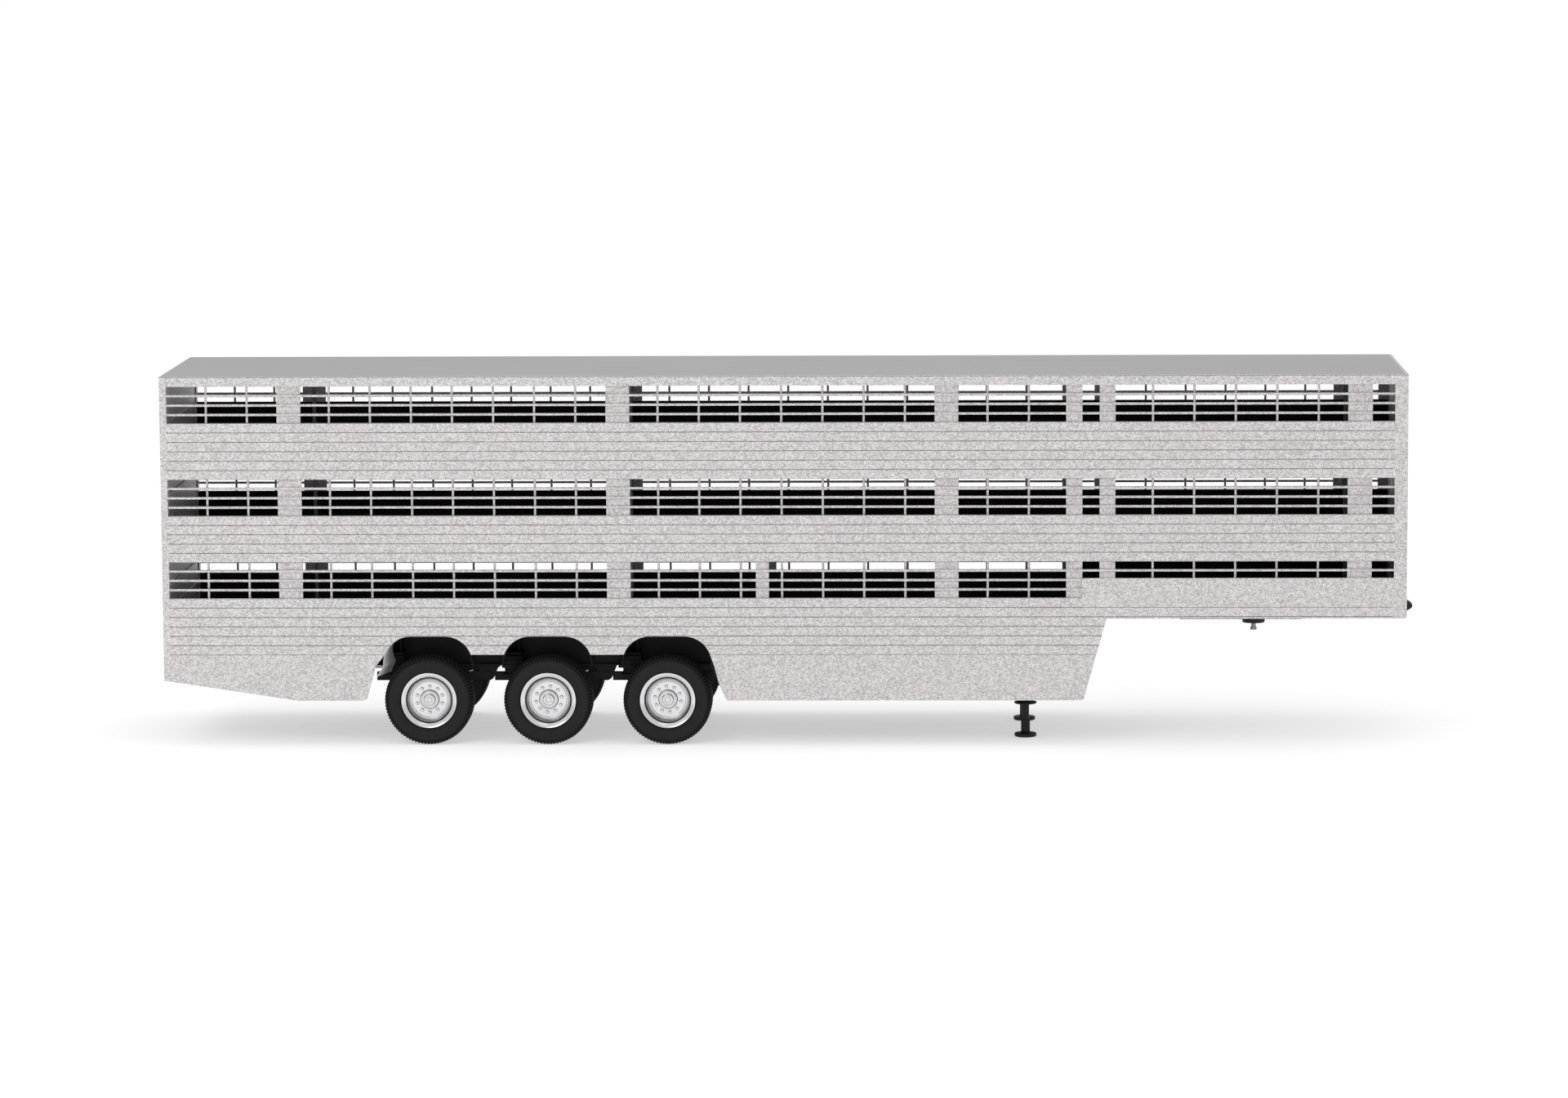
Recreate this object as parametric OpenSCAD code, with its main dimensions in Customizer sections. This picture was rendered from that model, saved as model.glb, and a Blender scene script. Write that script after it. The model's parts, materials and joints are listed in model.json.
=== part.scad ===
// Three-deck livestock semi-trailer with a stepped gooseneck.
// Lengths along X are set out from the rear face of the body. from_rear()
// then moves them so that the origin is on the ground, under the middle.
// +X points to the front, +Y to the left side, and the tyres stand on z = 0.

/* [Body] */
// Length of the body, rear face to front wall
body_l = 13600; // [13300:50:14200]
// Width over the side walls
body_w = 2550; // [2450:10:2650]
// Height of the roof above the ground
body_top = 4065; // [4065:5:4300]
// Underside of the side walls over the running gear
body_z = 1003; // [950:1:1050]
// Underside of the gooseneck
goose_z = 1396; // [1390:1:1410]
// Where the gooseneck begins, at its underside
goose_s = 10335; // [10200:5:10500]
// Slope of the front skirt, in length per unit of height
goose_slope = 0.2806; // [0.2:0.01:0.4]
// Thickness of the wall planks
plank_t = 32; // [24:1:40]
// Pitch of the wall planks
plank_pitch = 103.8; // [100:0.1:106]
// Depth of the groove between two planks
groove = 5; // [2:0.5:8]
// Length of the plain panel at the rear end of a wall
rear_end_l = 74; // [60:1:120]
// Length of the plain panel at the front end of a wall
front_end_l = 142; // [100:1:180]
// Height of the top rail
top_rail_h = 107; // [90:1:130]

/* [Windows] */
// Bottom edge of the lower window band
band_low_z = 1628; // [1600:1:1640]
// Bottom edge of the middle window band
band_mid_z = 2538; // [2500:1:2560]
// Bottom edge of the upper window band
band_top_z = 3556; // [3520:1:3556]
// Height of a window band
band_h = 398; // [380:1:400]
// Where the lower band steps up over the gooseneck
band_step_s = 10068; // [9950:1:10080]
// Bottom edge of the lower band over the gooseneck
band_step_z = 1842; // [1830:1:1850]
// Diameter of the horizontal bars
bar_d = 28; // [20:1:32]
// Pitch of the horizontal bars
bar_pitch = 103.5; // [95:0.5:105]
// Diameter of the upright rods
rod_d = 26; // [16:1:30]
// Pitch of the upright rods
rod_pitch = 449.2; // [400:0.1:500]

/* [Floors and decks] */
// Top of the lower floor
floor_z = 1290; // [1286:1:1310]
// Top of the gooseneck floor
goose_floor_z = 1484; // [1470:1:1500]
// Thickness of the lower floor
floor_t = 30; // [20:1:30]
// Top of the middle deck
mid_deck_z = 2180; // [2150:5:2220]
// Top of the upper deck
top_deck_z = 3198; // [3150:5:3240]
// Thickness of a deck
deck_t = 50; // [40:1:60]
// Height of the partition gates
gate_h = 650; // [550:10:680]
// Where the partition gates stand
gate_s = 5007; // [4900:1:5100]

/* [Running gear] */
// Where the rear axle stands
axle_s = 2905; // [2880:5:2930]
// Spacing of the axles
axle_pitch = 1312; // [1300:1:1330]
// Outer diameter of the tyres
tyre_d = 975; // [960:1:990]
// Width of a tyre
tyre_w = 385; // [350:5:390]
// Width over the outer faces of the tyres
track_w = 2470; // [2440:5:2480]
// Diameter of the rim flange
rim_d = 615; // [590:1:630]
// Spacing of the main beams, web to web
beam_span = 960; // [900:10:980]
// Diameter of the axle tube
axle_d = 127; // [110:1:140]
// Diameter of the pins that carry the trailing arms
pivot_d = 40; // [30:1:50]
// Radial running clearance of shafts and pins
run_gap = 0.05; // [0.02:0.01:0.08]

/* [Support and coupling] */
// Where the landing legs stand
leg_s = 9458; // [9300:1:9600]
// Spacing of the landing legs
leg_span = 1220; // [1200:10:1300]
// Diameter of a landing foot
foot_d = 243; // [200:1:260]
// Diameter of a landing leg's rod
leg_rod_d = 80; // [60:1:84]
// Setback of the kingpin behind the front wall
kingpin_back = 1600; // [1500:10:1700]
// How far the connector hood stands out in front
hood_out = 156; // [120:1:170]

/* [Hidden] */
$fn = 48;

silver = "#cbc7c8";
roof_grey = "#afadaf";
black = "#222224";
rubber = "#1c1c1d";
chrome = "#dcdcde";
liner_grey = "#9a999b";
lamp_red = "#8c1c18";

// Levels and widths worked out from the driving sizes
half_w = body_w / 2;
skin_in = half_w - plank_t;
post_t = 30;
lining_t = 4;
lining_out = skin_in - post_t;
room_y = lining_out - lining_t;
top_rail_z = body_top - top_rail_h;
roof_t = 16;
bow_h = 44;
roof_in = body_top - roof_t;
floor_under = floor_z - floor_t;
cross_h = 50;
beam_top = floor_under - cross_h;
beam_z = 785;
beam_y = beam_span / 2;
beam_flange_w = 120;
beam_flange_t = 14;
beam_web_t = 10;
goose_floor_t = 44;
goose_beam_z = 1315;
goose_beam_top = goose_floor_z - goose_floor_t;
toe_beam_l = 76;
toe_beam_y = beam_y + beam_flange_w / 2 + 10;
front_skin_t = 30;
front_rib_t = 4;
toe_beam_s = body_l - front_skin_t - front_rib_t - toe_beam_l;
// What a beam stops short of the piece in front of it
seat_gap = 0.3;
goose_cross_h = 40;
win_s0 = rear_end_l;
win_s1 = body_l - front_end_l;
rear_x = -(body_l + hood_out) / 2;
skirt_z = 498;
wheel_z = tyre_d / 2;
axle_list = [for (i = [0:2]) axle_s + i * axle_pitch];
arch_top = beam_top - 4;
arch_r = 300;
arch_flat = 190;
arch_core_z = arch_top - arch_r;
liner_t = 6;
guard_y = track_w / 2 - tyre_w - 10;
post_list = [[1280, 260], [4878, 259], [8463, 258], [9894, 177], [10258, 171], [12952, 265]];
short_post = [6508, 142];
rod_first = 6793.5 - 14 * rod_pitch;
rod_count = 28;
band_list = [band_low_z, band_mid_z, band_top_z];
bar_low = 92;
bar_y = skin_in + bar_d / 2;
rod_y = skin_in - rod_d / 2;
slope_foot_s = goose_s - (goose_z - skirt_z) * goose_slope;

module from_rear() translate([rear_x, 0, 0]) children();
// Draws its children on the left side, or mirrored on the right side
module on_side(left) mirror([0, left ? 0 : 1, 0]) children();
module both_sides() for (left = [true, false]) on_side(left) children();
// A box from its lowest to its highest corner
module block(low, high) translate(low) cube(high - low);
// A flat outline in length and height, y0 to y1 thick
module upright(y0, y1) translate([0, y1, 0]) rotate([90, 0, 0]) linear_extrude(y1 - y0) children();
// A rod along Y between two distances from the middle
module cross_rod(s, z, d, y0, y1) translate([s, y1, z]) rotate([90, 0, 0]) cylinder(d = d, h = y1 - y0);
// Points of an arc from angle a0 to a1
function arc(c, r, a0, a1, n = 10) =
    [for (i = [0:n]) let (a = a0 + (a1 - a0) * i / n) c + r * [cos(a), sin(a)]];

// ---- Frame and floors ----

// One I-beam outline drawn as three flats: web, top flange and bottom flange
module beam_run(s0, s1, z0, z1) {
    block([s0, beam_y - beam_web_t / 2, z0 + beam_flange_t],
          [s1, beam_y + beam_web_t / 2, z1 - beam_flange_t]);
    for (z = [z0, z1 - beam_flange_t])
        block([s0, beam_y - beam_flange_w / 2, z], [s1, beam_y + beam_flange_w / 2, z + beam_flange_t]);
}

beam_rear_s = 160;
beam_front_s = goose_s - (goose_z - beam_z) * goose_slope - 40;
module main_beams() color(black) from_rear() both_sides() {
    beam_run(beam_rear_s, beam_front_s, beam_z, beam_top);
    // The neck stands on an end plate at the front of the low beam
    block([beam_front_s, beam_y - beam_flange_w / 2, beam_z],
          [beam_front_s + beam_flange_t, beam_y + beam_flange_w / 2, goose_beam_top]);
    beam_run(beam_front_s + beam_flange_t, toe_beam_s - seat_gap, goose_beam_z, goose_beam_top);
}

cross_w = 60;
cross_pitch = 690;
cross_n = floor((band_step_s - 200) / cross_pitch);
module crossmembers() color(black) from_rear() {
    for (i = [0:cross_n])
        block([120 + i * cross_pitch, -skin_in, beam_top],
              [120 + cross_w + i * cross_pitch, skin_in, floor_under]);
    // Outriggers carry the gooseneck floor beside the neck beams
    for (s = [beam_front_s + 200:660:body_l - 200]) both_sides()
        block([s, beam_y + beam_flange_w / 2, goose_beam_top - goose_cross_h],
              [s + cross_w, skin_in, goose_beam_top]);
}

gate_post_y = room_y - 80;
gate_pin_d = 24;
gate_pin_h = gate_h - 10;
// Base plate and upright pin that carry a partition gate
module gate_post(z) translate([gate_s, gate_post_y, z]) {
    translate([-50, -50, 0]) cube([100, 100, 8]);
    cylinder(d = gate_pin_d, h = gate_pin_h);
}

module lower_floor() color(liner_grey) from_rear() {
    block([rear_end_l, -room_y, floor_under], [band_step_s, room_y, floor_z]);
    gate_post(floor_z);
    // Anti-slip ribs across the floor
    for (s = [400:500:band_step_s - 300]) if (abs(s - gate_s) > 120)
        block([s, -room_y + 90, floor_z], [s + 20, room_y - 90, floor_z + 5]);
}

riser_t = 12;
module gooseneck_floor() color(liner_grey) from_rear() {
    block([band_step_s, -room_y, floor_under], [band_step_s + riser_t, room_y, goose_floor_z]);
    block([band_step_s + riser_t, -room_y, goose_beam_top], [body_l - 34, room_y, goose_floor_z]);
}

// ---- Side walls ----

// The wall's whole outline between its two plain ends, below the top rail
module wall_outline() polygon([
    [win_s0, body_z], [goose_s - (goose_z - body_z) * goose_slope, body_z],
    [goose_s, goose_z], [win_s1, goose_z], [win_s1, top_rail_z], [win_s0, top_rail_z]]);

// Outline of one wheel arch, made of two rounds with a flat between them
module arch_outline(r) {
    for (d = [-arch_flat, arch_flat]) translate([d, arch_core_z]) circle(r = r, $fn = 64);
    translate([-arch_flat, arch_core_z]) square([2 * arch_flat, r]);
    translate([-arch_flat - r, 0]) square([2 * (arch_flat + r), arch_core_z]);
}

// A plank along the wall, with its two outer edges bevelled into half a groove
module plank(s0, s1, z0, z1) translate([s0, 0, 0]) rotate([90, 0, 90]) linear_extrude(s1 - s0)
    polygon([[skin_in, z0], [half_w - groove, z0], [half_w, z0 + groove],
             [half_w, z1 - groove], [half_w - groove, z1], [skin_in, z1]]);

// How many planks fill a height, and their true pitch
function plank_count(z0, z1) = max(1, round((z1 - z0) / plank_pitch));

// A stack of planks from z0 to z1
module plank_stack(s0, s1, z0, z1) {
    n = plank_count(z0, z1);
    pitch = (z1 - z0) / n;
    for (i = [0:n - 1]) plank(s0, s1, z0 + i * pitch, z0 + (i + 1) * pitch);
}

low_n = plank_count(body_z, band_low_z);
low_pitch = (band_low_z - body_z) / low_n;
module side_planks(left) color(silver) from_rear() on_side(left) {
    for (i = [0:low_n - 1]) difference() {
        intersection() {
            plank(win_s0, win_s1, body_z + i * low_pitch, body_z + (i + 1) * low_pitch);
            upright(skin_in, half_w) wall_outline();
            // The top plank of the stack stops at the plain gooseneck panel
            if (i == low_n - 1)
                block([win_s0, skin_in, body_z], [band_step_s, half_w, band_low_z]);
        }
        if (body_z + i * low_pitch < arch_top) for (s = axle_list)
            translate([s, 0, 0]) upright(skin_in - 1, half_w + 1) arch_outline(arch_r);
    }
    // Plain panel over the gooseneck, up to the raised window
    block([band_step_s, skin_in, band_low_z - low_pitch], [win_s1, half_w, band_step_z]);
    plank_stack(win_s0, win_s1, band_low_z + band_h, band_mid_z);
    plank_stack(win_s0, win_s1, band_mid_z + band_h, band_top_z);
}

nose_r = 40;
module side_frame(left) color(silver) from_rear() on_side(left) {
    // Top rail with an eased upper edge
    rail_r = 14;
    rotate([90, 0, 90]) linear_extrude(body_l) polygon(concat(
        [[skin_in, top_rail_z], [half_w, top_rail_z]],
        arc([half_w - rail_r, body_top - rail_r], rail_r, 0, 90), [[skin_in, body_top]]));
    // Plain end panels
    block([0, skin_in, body_z], [rear_end_l, half_w, top_rail_z]);
    upright(skin_in, half_w) polygon(concat([[win_s1, top_rail_z], [win_s1, goose_z]],
        arc([body_l - nose_r, goose_z + nose_r], nose_r, -90, 0), [[body_l, top_rail_z]]));
    // Posts behind the windows, each standing on the floor frame
    for (p = post_list)
        block([p[0], lining_out, p[0] < band_step_s ? floor_z : goose_floor_z],
              [p[0] + p[1], skin_in, top_rail_z]);
    block([short_post[0], lining_out, floor_z],
          [short_post[0] + short_post[1], skin_in, band_low_z + band_h + 100]);
    // Cant rail that ties the post heads together
    block([win_s0, lining_out, top_rail_z], [win_s1, skin_in, roof_in - bow_h]);
}

module vent_bars(left) color(silver) from_rear() on_side(left)
    for (z = band_list, i = [0:2])
        translate([win_s0, bar_y, z + bar_low + i * bar_pitch]) rotate([0, 90, 0])
            cylinder(d = bar_d, h = (z == band_low_z && i < 2 ? band_step_s : win_s1) - win_s0, $fn = 24);

// True where an upright rod would stand in a post
function rod_blocked(s) = len([for (p = post_list) if (s > p[0] - 30 && s < p[0] + p[1] + 30) p]) > 0
    || (s > post_list[3][0] && s < post_list[4][0]);

module vent_rods() color(silver) from_rear() both_sides()
    for (i = [0:rod_count - 1]) let (s = rod_first + i * rod_pitch)
        if (s > win_s0 + 60 && s < win_s1 - 60 && !rod_blocked(s))
            translate([s, rod_y, s < band_step_s ? floor_z : goose_floor_z])
                cylinder(d = rod_d, h = top_rail_z - (s < band_step_s ? floor_z : goose_floor_z), $fn = 16);

module inner_lining() color(black) from_rear() both_sides() {
    block([rear_end_l, room_y, floor_under], [band_step_s, lining_out, band_low_z]);
    block([band_step_s, room_y, goose_beam_top], [body_l - 34, lining_out, band_step_z]);
    for (z = [[band_low_z + band_h, band_mid_z], [band_mid_z + band_h, band_top_z]])
        block([rear_end_l, room_y, z[0]], [body_l - 34, lining_out, z[1]]);
}

module front_wall() color(silver) from_rear() {
    block([body_l - front_skin_t, -skin_in, goose_z], [body_l, skin_in, body_top]);
    // Ribs inside the wall and the toe beam that the hood is bolted to
    for (y = [-900:450:900]) block([toe_beam_s + toe_beam_l, y - 30, goose_floor_z], [body_l - front_skin_t, y + 30, top_rail_z]);
    block([toe_beam_s, -toe_beam_y, goose_beam_z], [toe_beam_s + toe_beam_l, toe_beam_y, goose_beam_top]);
}

module roof_sheet() color(roof_grey) from_rear()
    block([0, -skin_in, roof_in], [body_l - 30, skin_in, body_top]);

bow_pitch = 900;
module roof_bows() color(liner_grey) from_rear()
    for (s = [rear_end_l + 260:bow_pitch:body_l - 200])
        block([s, -skin_in, roof_in - bow_h], [s + 50, skin_in, roof_in]);

// ---- Rear portal, ramp and flap ----

portal_post_w = 84;
door_y = skin_in - portal_post_w - 12;
ramp_t = 50;
door_s = 8;
hinge_s = door_s + 16;
hinge_pin_d = 16;
knuckle_d = 26;
hinge_drop = 26;
knuckle_gap = 1;
knuckle_l = 60;
knuckle_at = [for (i = [-2:2]) i * 500];
ramp_hinge_z = floor_under - 2 + hinge_drop;
header_z = top_rail_z + 20;
flap_hinge_z = header_z - hinge_drop;
door_gap = 16;
ramp_z0 = ramp_hinge_z + door_gap;
ramp_z1 = band_top_z - 10;
flap_z0 = ramp_z1 + door_gap;
flap_z1 = flap_hinge_z - door_gap;

// Knuckles and pin that stay on the portal; up is 1 below a header, -1 on a sill
module fixed_knuckles(z, up) for (y = knuckle_at) {
    difference() {
        union() {
            cross_rod(hinge_s, z, knuckle_d, y - knuckle_l, y);
            block([hinge_s, y - knuckle_l, up > 0 ? z : z - hinge_drop],
                  [hinge_s + knuckle_d / 2, y, up > 0 ? z + hinge_drop : z]);
        }
        cross_rod(hinge_s, z, hinge_pin_d, y - knuckle_l - 1, y + 1);
    }
    cross_rod(hinge_s, z, hinge_pin_d, y - knuckle_l, y + knuckle_gap + knuckle_l);
}

// Knuckles that turn with a door; up is 1 on the ramp, -1 on the flap
module door_knuckles(z, up) for (y = knuckle_at) difference() {
    union() {
        cross_rod(hinge_s, z, knuckle_d, y + knuckle_gap, y + knuckle_gap + knuckle_l);
        block([hinge_s - knuckle_d / 2, y + knuckle_gap, up > 0 ? z : z - door_gap],
              [hinge_s + knuckle_d / 2, y + knuckle_gap + knuckle_l, up > 0 ? z + door_gap : z]);
    }
    cross_rod(hinge_s, z, hinge_pin_d + 2 * run_gap, y, y + knuckle_gap + knuckle_l + 1);
}

module rear_portal() color(silver) from_rear() {
    both_sides() block([0, skin_in - portal_post_w, beam_top], [rear_end_l, skin_in, roof_in]);
    block([0, -(skin_in - portal_post_w), header_z], [rear_end_l, skin_in - portal_post_w, roof_in]);
    // The sill stands back from the rear face, so that the ramp can pass below level
    block([hinge_s - 8, -(skin_in - portal_post_w), beam_top],
          [rear_end_l, skin_in - portal_post_w, floor_under - 2]);
    fixed_knuckles(ramp_hinge_z, -1);
    fixed_knuckles(flap_hinge_z, 1);
}

// A door panel of level boards with bevelled outer edges, hinged at the rear
module door_panel(z0, z1) {
    n = plank_count(z0, z1);
    pitch = (z1 - z0) / n;
    translate([0, door_y, 0]) rotate([90, 0, 0]) linear_extrude(2 * door_y) polygon(concat(
        [[door_s + ramp_t, z1], [door_s + ramp_t, z0]],
        [for (i = [0:n - 1], e = [[groove, 0], [0, groove], [0, pitch - groove], [groove, pitch]])
            [door_s + e[0], z0 + i * pitch + e[1]]]));
}

cleat_h = 16;
module loading_ramp() color(silver) from_rear() {
    door_panel(ramp_z0, ramp_z1);
    door_knuckles(ramp_hinge_z, 1);
    // Cleats give the animals a foothold when the ramp is down
    for (z = [ramp_z0 + 200:250:ramp_z1 - 100])
        block([door_s + ramp_t, -door_y + 60, z], [door_s + ramp_t + cleat_h, door_y - 60, z + 25]);
}

module rear_flap() color(silver) from_rear() {
    door_panel(flap_z0, flap_z1);
    door_knuckles(flap_hinge_z, -1);
}

// ---- Skirts, mudguards and liners ----

skirt_t = 24;
rear_skirt_z = 713;
skirt_corner = 45;
skirt_in = half_w - skirt_t;
arch_foot = sqrt(arch_r * arch_r - pow(body_z - arch_core_z, 2)) + arch_flat;
module skirt(left) color(silver) from_rear() on_side(left) {
    a = axle_list[0];
    b = axle_list[2];
    // Rear skirt, rising towards the bumper
    upright(skirt_in, half_w) polygon(concat(
        [[0, body_z], [0, rear_skirt_z], [38, rear_skirt_z], [a - 1434, skirt_z]],
        arc([a - 668 - skirt_corner, skirt_z + skirt_corner], skirt_corner, -90, -12),
        [[a - 570, 884], [a - arch_foot, body_z]]));
    // Front skirt, ending in the slope under the gooseneck
    upright(skirt_in, half_w) polygon(concat(
        [[b + arch_foot, body_z], [b + 520, 873], [b + 576, 659]],
        arc([b + 636 + skirt_corner, skirt_z + skirt_corner], skirt_corner, 190, 270),
        arc([slope_foot_s - skirt_corner * tan((90 - atan(goose_slope)) / 2), skirt_z + skirt_corner],
            skirt_corner, -90, -atan(goose_slope)),
        [[goose_s - (goose_z - body_z) * goose_slope, body_z]]));
    // Corner strip at the tail
    block([0, half_w - 40, rear_skirt_z], [30, skirt_in, body_z]);
}

liner_split = -330;
guard_foot_z = 880;
guard_gap = 0.5;
module arch_shell(s) translate([s, 0, 0]) upright(guard_y, half_w - 6) difference() {
    arch_outline(arch_r - guard_gap);
    arch_outline(arch_r - liner_t);
    translate([-600, 0]) square([1200, guard_foot_z]);
}

module arch_liners() color(liner_grey) from_rear() both_sides() {
    intersection() {
        arch_shell(axle_list[0]);
        block([axle_list[0] - 600, 0, 0], [axle_list[0] + liner_split, half_w, body_top]);
    }
    // Return that closes the back of the rear skirt
    translate([axle_list[0], 0, 0]) upright(guard_y, skirt_in)
        polygon([[-490, guard_foot_z], [-484, guard_foot_z], [-560, 760], [-566, 760]]);
}

module mudguards() color(black) from_rear() both_sides() {
    difference() {
        for (s = axle_list) arch_shell(s);
        block([0, 0, 0], [axle_list[0] + liner_split, half_w, body_top]);
    }
    // Flap that runs down behind the front skirt
    translate([axle_list[2], 0, 0]) upright(guard_y, skirt_in)
        polygon([[484, guard_foot_z], [490, guard_foot_z], [576, 659], [566, 659]]);
}

// ---- Suspension ----

pivot_ahead = 600;
pivot_z = 690;
arm_w = 78;
arm_end = 640;
arm_h = 91;
spring_at = 430;
spring_y = 690;
spring_d = 250;
seat_t = 12;
arm_rear_z = 615;
seat_z = arm_rear_z + arm_h;
spring_z0 = seat_z + seat_t;
spring_z1 = 950;
cheek_t = 12;
cheek_gap = 1;

module suspension_hangers() color(black) from_rear() both_sides() for (s = axle_list) translate([s, 0, 0]) {
    for (y = [beam_y - arm_w / 2 - cheek_gap - cheek_t, beam_y + arm_w / 2 + cheek_gap])
        upright(y, y + cheek_t) difference() {
            union() {
                polygon([[pivot_ahead - 115, beam_z], [pivot_ahead - 70, pivot_z - 20],
                         [pivot_ahead + 70, pivot_z - 20], [pivot_ahead + 120, beam_z]]);
                translate([pivot_ahead, pivot_z]) circle(d = 150);
            }
            translate([pivot_ahead, pivot_z]) circle(d = pivot_d);
        }
    // Pivot pin with a head at each end
    cross_rod(pivot_ahead, pivot_z, pivot_d, beam_y - 60, beam_y + 60);
    for (y = [beam_y - 70, beam_y + arm_w / 2 + cheek_gap + cheek_t])
        cross_rod(pivot_ahead, pivot_z, 70, y, y + 18);
    // Bracket over the air spring, welded to the beam's web
    block([-spring_at - 110, beam_y + beam_web_t / 2, spring_z1],
          [-spring_at + 110, spring_y + spring_d / 2, spring_z1 + seat_t]);
    for (e = [-80, 68]) block([-spring_at + e, beam_y + beam_web_t / 2, spring_z1 + seat_t],
                              [-spring_at + e + 12, spring_y, spring_z1 + 160]);
}

axle_seat_z = wheel_z + axle_d / 2;
module trailing_arms(i) color(black) from_rear() both_sides() translate([axle_list[i], 0, 0]) {
    difference() {
        upright(beam_y - arm_w / 2, beam_y + arm_w / 2) {
            polygon([[pivot_ahead, pivot_z + 45], [100, axle_seat_z + 105], [-100, axle_seat_z + 105],
                     [-300, seat_z], [-arm_end, seat_z], [-arm_end, arm_rear_z], [-300, arm_rear_z],
                     [-100, axle_seat_z], [100, axle_seat_z], [pivot_ahead, pivot_z - 45]]);
            translate([pivot_ahead, pivot_z]) circle(d = 110);
        }
        cross_rod(pivot_ahead, pivot_z, pivot_d + 2 * run_gap, beam_y - arm_w, beam_y + arm_w);
    }
    // Seat plate under the air spring
    block([-spring_at - 100, beam_y - arm_w / 2, seat_z], [-spring_at + 100, spring_y + 110, spring_z0]);
    // Clamp plate and U-bolt legs around the axle
    block([-100, beam_y - arm_w / 2, axle_seat_z - axle_d - 20], [100, beam_y + arm_w / 2, axle_seat_z - axle_d]);
    for (x = [-80, 80], y = [-28, 28])
        translate([x, beam_y + y, axle_seat_z - axle_d]) cylinder(d = 18, h = axle_d);
}

// Two rolling-lobe air springs of one axle
module air_springs(i) color(rubber) from_rear() both_sides()
    translate([axle_list[i] - spring_at, spring_y, spring_z0]) rotate_extrude()
        polygon([[0, 0], [80, 0], [88, 60], [spring_d / 2 - 8, 90], [spring_d / 2, 120],
                 [spring_d / 2, 190], [spring_d / 2 - 20, spring_z1 - spring_z0], [0, spring_z1 - spring_z0]]);

wheel_y = track_w / 2 - tyre_w / 2;
spindle_d = 90;
spindle_end = 88;
brake_plate_r = 180;
module axle(i) color(black) from_rear() translate([axle_list[i], 0, 0]) {
    tube_y = wheel_y - 150;
    cross_rod(0, wheel_z, axle_d, -tube_y, tube_y);
    both_sides() {
        cross_rod(0, wheel_z, spindle_d, tube_y, wheel_y + spindle_end);
        // Brake back plate inside the drum
        difference() {
            cross_rod(0, wheel_z, 2 * brake_plate_r, tube_y - 12, tube_y);
            cross_rod(0, wheel_z, axle_d, tube_y - 13, tube_y + 1);
        }
        // Brake chamber on its bracket
        translate([90, 330, wheel_z]) rotate([0, 90, 0]) cylinder(d = 170, h = 150);
        block([axle_d / 2 - 6, 300, wheel_z - 20], [90, 360, wheel_z + 20]);
    }
}

// ---- Wheels, drawn with local z pointing out of the vehicle ----

bead_z = 150;
bead_r = rim_d / 2 - 24;
module at_wheel(i, left) from_rear() on_side(left)
    translate([axle_list[i], wheel_y, wheel_z]) rotate([-90, 0, 0]) children();

module tyre(i, left) color(rubber) at_wheel(i, left) {
    r = tyre_d / 2;
    w = tyre_w / 2;
    // The curve of the wall is drawn for a wall 180 high
    k = (r - rim_d / 2) / 180;
    half = [[bead_r, bead_z], [rim_d / 2, bead_z], [rim_d / 2 + 22 * k, w - 16], [r - 117 * k, w - 2], [r - 77 * k, w],
            [r - 38 * k, w - 6], [r - 14 * k, w - 20], [r, w - 42]];
    hollow = [[bead_r, bead_z - 30], [rim_d / 2, bead_z - 10], [r - 127 * k, w - 28], [r - 57 * k, w - 28],
              [r - 32 * k, w - 42]];
    rotate_extrude($fn = 96) polygon(concat(half, [for (k = [len(half) - 1:-1:0]) [half[k][0], -half[k][1]]],
        [for (k = [0:len(hollow) - 1]) [hollow[k][0], -hollow[k][1]]],
        [for (k = [len(hollow) - 1:-1:0]) hollow[k]]));
}

disc_z = 56;
nut_pcd = 286;
nut_count = 10;
hub_r = 70;
module rim(i, left) color(chrome) at_wheel(i, left) {
    f = rim_d / 2;
    // Dished barrel and disc
    rotate_extrude($fn = 96) polygon([
        [f, bead_z], [f, bead_z + 10], [f - 8, bead_z + 15], [f - 16, bead_z + 10],
        [f - 52, bead_z - 16], [f - 84, disc_z + 8], [f - 93, disc_z - 3], [f - 102, disc_z - 6],
        [f - 111, disc_z], [hub_r, disc_z], [hub_r, disc_z - 18], [f - 108, disc_z - 18],
        [f - 92, disc_z - 16], [f - 72, disc_z + 10], [f - 64, disc_z + 56], [f - 64, -120],
        [f - 46, -bead_z - 10], [f, -bead_z - 10], [f, -bead_z], [bead_r - 8, -bead_z],
        [f - 45, -120], [f - 52, -110], [f - 52, disc_z + 56], [bead_r - 2, bead_z]]);
    // Hub with its cap, running on the spindle
    bore = spindle_d / 2 + run_gap;
    rotate_extrude() polygon([
        [bore, -140], [95, -140], [95, disc_z - 18], [hub_r, disc_z - 18], [hub_r, disc_z],
        [104, disc_z], [104, disc_z + 18], [62, disc_z + 18], [62, disc_z + 42], [52, disc_z + 50],
        [0, disc_z + 50], [0, spindle_end + 4], [bore, spindle_end + 4]]);
    // Brake drum behind the disc
    rotate_extrude() polygon([[95, 0], [205, 0], [205, -130], [188, -130], [188, -14], [95, -14]]);
    for (k = [0:nut_count - 1]) rotate([0, 0, (k + 0.5) * 360 / nut_count])
        translate([nut_pcd / 2, 0, disc_z]) {
            cylinder(d = 40, h = 4, $fn = 24);
            translate([0, 0, 4]) cylinder(d = 37, h = 20, $fn = 6);
            translate([0, 0, 24]) cylinder(d = 22, h = 8, $fn = 16);
        }
}

// ---- Coupling, legs and small gear ----

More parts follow.
